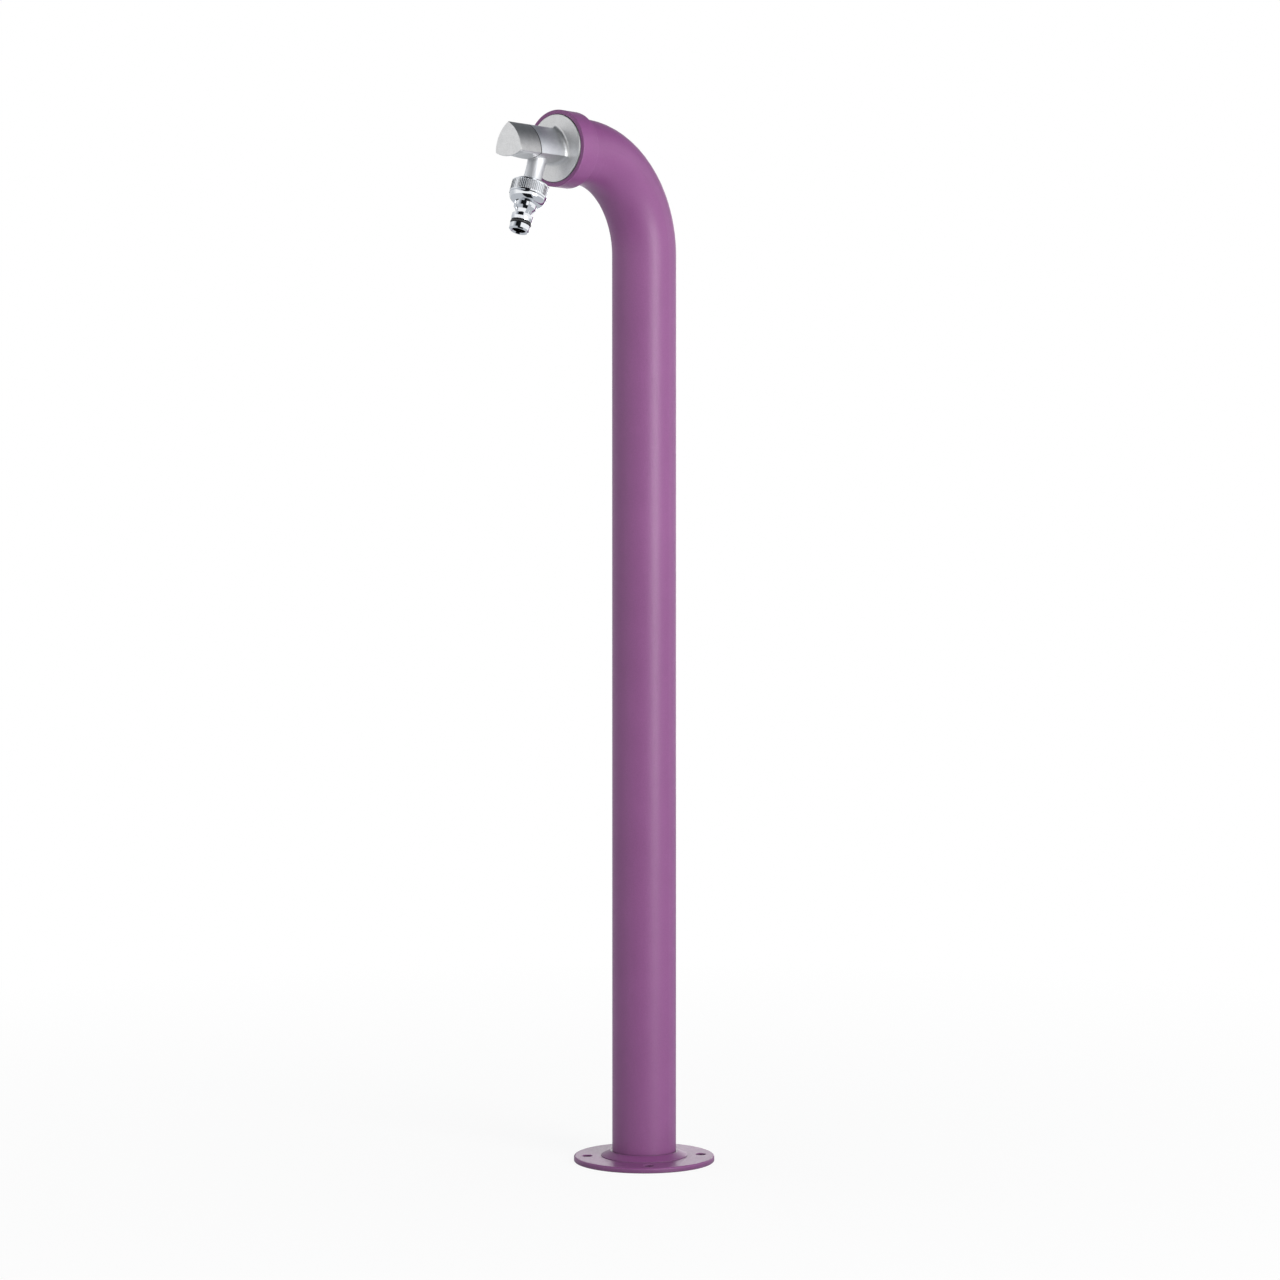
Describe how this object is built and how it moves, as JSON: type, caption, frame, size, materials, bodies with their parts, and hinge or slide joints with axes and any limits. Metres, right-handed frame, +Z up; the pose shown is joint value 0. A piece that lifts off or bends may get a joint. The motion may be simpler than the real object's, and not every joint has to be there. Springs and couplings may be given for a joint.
{
  "type": "garden standpipe",
  "caption": "Bent steel garden water post on a round bolted base, with a quarter-turn tap in the end of its arm and a threaded push-fit hose connector.",
  "frame": {"origin": "middle of the base plate's underside, on the axis of the upright post, at the height of the ground", "axes": "+Z up the post; -Y along the arm, towards the person at the tap; +X to the left of that person"},
  "size_m": [0.132, 0.2521, 0.9715],
  "materials": {
    "powder_coat": "fine-textured matte powder coat",
    "satin_cast": "fine-grained satin cast metal",
    "satin_turned": "smooth satin turned metal",
    "polished_chrome": "polished chrome plate",
    "brass": "machined brass",
    "stainless": "stainless steel",
    "black_rubber": "moulded black rubber",
    "ceramic": "lapped white ceramic",
    "white_plastic": "moulded white plastic",
    "red_fibre": "red fibre sheet",
    "braided_hose": "rubber hose under a steel braid"
  },
  "bodies": {
    "root": {"post_tube": "powder_coat", "base_plate": "powder_coat", "base_hub": "powder_coat", "outlet_collar": "powder_coat", "tap_body": "satin_cast", "outlet_spout": "satin_turned", "headwork_body": "brass", "hose_top_fitting": "brass", "hose_foot_fitting": "brass", "collar_set_screw": "stainless", "hose_top_ferrule": "stainless", "hose_foot_ferrule": "stainless", "rosette_gasket": "black_rubber", "headwork_o_ring": "black_rubber", "seat_seal": "black_rubber", "inlet_nut_washer": "black_rubber", "fixed_ceramic_disc": "ceramic", "thrust_washer": "white_plastic", "handle_guide_ring": "white_plastic", "inlet_washer": "red_fibre", "supply_hose": "braided_hose"},
    "handle": {"handle": "satin_cast", "handle_grub_screw": "stainless", "spindle": "brass", "spindle_o_rings": "black_rubber", "spindle_clip": "stainless", "moving_ceramic_disc": "ceramic"},
    "connector_seat": {"connector_washer": "black_rubber"},
    "connector": {"hose_connector": "polished_chrome", "connector_o_ring": "black_rubber"},
    "inlet_nut": {"inlet_swivel_nut": "brass"}
  },
  "joints": [
    {"name": "handle_turn", "type": "hinge", "parent": "root", "child": "handle", "pos_m": [0, -0.162, 0.9368], "axis": [0, -1, 0], "range_deg": [0, 90]},
    {"name": "inlet_nut_turn", "type": "hinge", "parent": "root", "child": "inlet_nut", "pos_m": [0, 0, 0.065], "axis": [0, 0, 1], "continuous": true},
    {"name": "connector_travel", "type": "slide", "parent": "root", "child": "connector_seat", "axis": [0, -0.3535, -0.9354], "range_m": [0, 0.00907]},
    {"name": "connector_turn", "type": "hinge", "parent": "connector_seat", "child": "connector", "pos_m": [0, -0.16077, 0.88936], "axis": [0, -0.3535, -0.9354], "range_deg": [0, 1800.1]}
  ],
  "couplings": [
    {"joint": "connector_turn", "follows": "connector_travel", "rad_per_m": 3463.7}
  ]
}
